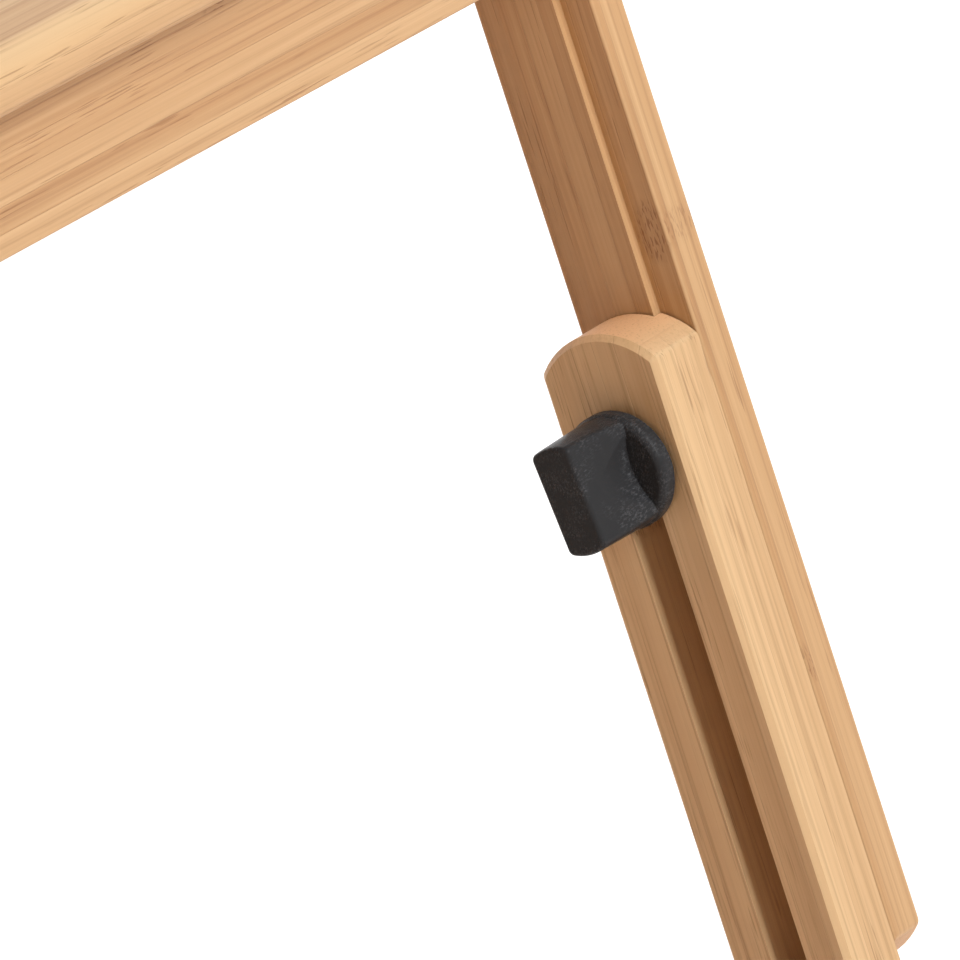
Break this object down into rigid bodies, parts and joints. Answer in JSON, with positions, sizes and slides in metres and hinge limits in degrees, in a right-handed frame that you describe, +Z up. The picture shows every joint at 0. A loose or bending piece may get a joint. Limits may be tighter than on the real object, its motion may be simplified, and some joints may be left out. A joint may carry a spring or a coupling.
{
  "type": "laptop bed table",
  "caption": "Bamboo lap table with a tilting vented panel, an end drawer and folding, telescoping legs clamped by black wing knobs.",
  "frame": {"origin": "on the floor, under the middle of the table", "axes": "+X along the table to the drawer end, -Y to the user, +Z up"},
  "size_m": [0.8702, 0.35, 0.312],
  "materials": {
    "bamboo": "satin lacquer",
    "plywood": "satin lacquer",
    "black_plastic": "satin moulded",
    "steel": "zinc plated",
    "brass": "turned",
    "pad_rubber": "matt"
  },
  "bodies": {
    "tray": {"front_border": "bamboo", "back_border": "bamboo", "left_border": "bamboo", "right_border": "bamboo", "divider_strip": "bamboo", "fixed_panel": "bamboo", "front_apron": "bamboo", "back_apron": "bamboo", "left_apron": "bamboo", "right_apron_front": "bamboo", "right_apron_back": "bamboo", "divider_rail": "bamboo", "drawer_rails": "bamboo", "drawer_runners": "bamboo", "tray_dowels": "bamboo", "tilt_racks": "bamboo", "rack_screws": "steel", "tilt_hinge_pins": "steel", "leg_hinge_bolts": "steel", "leg_hinge_washers": "steel", "leg_hinge_nuts": "steel"},
    "tilt_panel": {"tilt_panel": "bamboo", "laptop_ledge": "bamboo", "prop_blocks": "bamboo", "panel_screws": "steel", "prop_pins": "steel"},
    "prop": {"prop_arms": "bamboo", "prop_bar": "steel"},
    "drawer": {"drawer_front": "bamboo", "drawer_back": "bamboo", "drawer_sides": "bamboo", "drawer_bottom": "plywood", "drawer_pull": "bamboo", "drawer_pull_screw": "steel"},
    "left_legs": {"left_front_upper_leg": "bamboo", "left_back_upper_leg": "bamboo", "left_clamp_bolts": "steel", "left_clamp_washers": "steel"},
    "left_feet": {"left_front_lower_leg": "bamboo", "left_back_lower_leg": "bamboo", "left_foot_bar": "bamboo", "left_foot_bar_screws": "steel", "left_foot_pads": "pad_rubber"},
    "left_front_knob": {"left_front_knob": "black_plastic", "left_front_knob_nut": "brass"},
    "left_back_knob": {"left_back_knob": "black_plastic", "left_back_knob_nut": "brass"},
    "right_legs": {"right_front_upper_leg": "bamboo", "right_back_upper_leg": "bamboo", "right_clamp_bolts": "steel", "right_clamp_washers": "steel"},
    "right_feet": {"right_front_lower_leg": "bamboo", "right_back_lower_leg": "bamboo", "right_foot_bar": "bamboo", "right_foot_bar_screws": "steel", "right_foot_pads": "pad_rubber"},
    "right_front_knob": {"right_front_knob": "black_plastic", "right_front_knob_nut": "brass"},
    "right_back_knob": {"right_back_knob": "black_plastic", "right_back_knob_nut": "brass"}
  },
  "joints": [
    {"name": "left_fold", "type": "hinge", "parent": "tray", "child": "left_legs", "pos_m": [-0.321, 0, 0.279], "axis": [0, -1, 0], "range_deg": [0, 110]},
    {"name": "left_extend", "type": "slide", "parent": "left_legs", "child": "left_feet", "axis": [0.342, 0, 0.9397], "range_m": [0, 0.078]},
    {"name": "left_front_clamp", "type": "hinge", "parent": "left_legs", "child": "left_front_knob", "pos_m": [-0.35972, -0.1309, 0.17263], "axis": [0, 1, 0], "range_deg": [0, 360]},
    {"name": "left_back_clamp", "type": "hinge", "parent": "left_legs", "child": "left_back_knob", "pos_m": [-0.35972, 0.1309, 0.17263], "axis": [0, -1, 0], "range_deg": [0, 360]},
    {"name": "right_fold", "type": "hinge", "parent": "tray", "child": "right_legs", "pos_m": [0.321, 0, 0.279], "axis": [0, 1, 0], "range_deg": [0, 110]},
    {"name": "right_extend", "type": "slide", "parent": "right_legs", "child": "right_feet", "axis": [-0.342, 0, 0.9397], "range_m": [0, 0.078]},
    {"name": "right_front_clamp", "type": "hinge", "parent": "right_legs", "child": "right_front_knob", "pos_m": [0.35972, -0.1309, 0.17263], "axis": [0, 1, 0], "range_deg": [0, 360]},
    {"name": "right_back_clamp", "type": "hinge", "parent": "right_legs", "child": "right_back_knob", "pos_m": [0.35972, 0.1309, 0.17263], "axis": [0, -1, 0], "range_deg": [0, 360]},
    {"name": "panel_tilt", "type": "hinge", "parent": "tray", "child": "tilt_panel", "pos_m": [0, -0.131, 0.2985], "axis": [1, 0, 0], "range_deg": [0, 34]},
    {"name": "prop_swing", "type": "hinge", "parent": "tilt_panel", "child": "prop", "pos_m": [0, -0.021, 0.287], "axis": [1, 0, 0], "range_deg": [-68, 0]},
    {"name": "drawer_slide", "type": "slide", "parent": "tray", "child": "drawer", "axis": [1, 0, 0], "range_m": [0, 0.13]}
  ],
  "couplings": [
    {"joint": "prop_swing", "follows": "panel_tilt", "ratio": -2}
  ]
}
